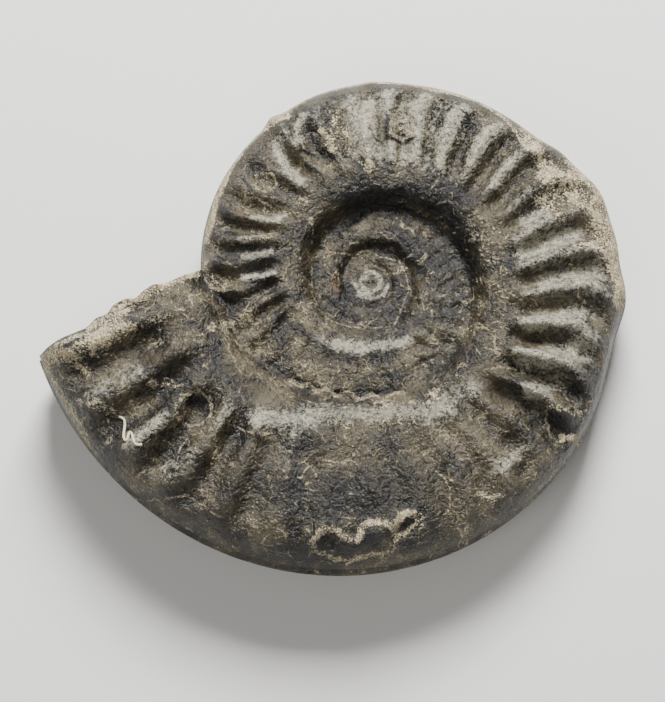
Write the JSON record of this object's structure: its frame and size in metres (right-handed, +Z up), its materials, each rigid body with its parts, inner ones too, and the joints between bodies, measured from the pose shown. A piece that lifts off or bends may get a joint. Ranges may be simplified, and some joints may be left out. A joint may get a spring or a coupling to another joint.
{
  "type": "ammonite fossil",
  "caption": "Coiled ribbed ammonite fossil of dark stone with a broken aperture, lying on its flank.",
  "frame": {"origin": "centre of the bounding box at its base, on the surface that the fossil lies on", "axes": "+Z up out of the flank that shows, the shortest extent; +X to the right, along the longest extent, with the broken aperture at -X"},
  "size_m": [0.1158, 0.1, 0.0289],
  "materials": {
    "fossil_stone": "dark brown-grey fossil limestone, half gloss on the ribs, with cream calcite crust and veins"
  },
  "bodies": {
    "root": {"ammonite": "fossil_stone"}
  },
  "joints": []
}
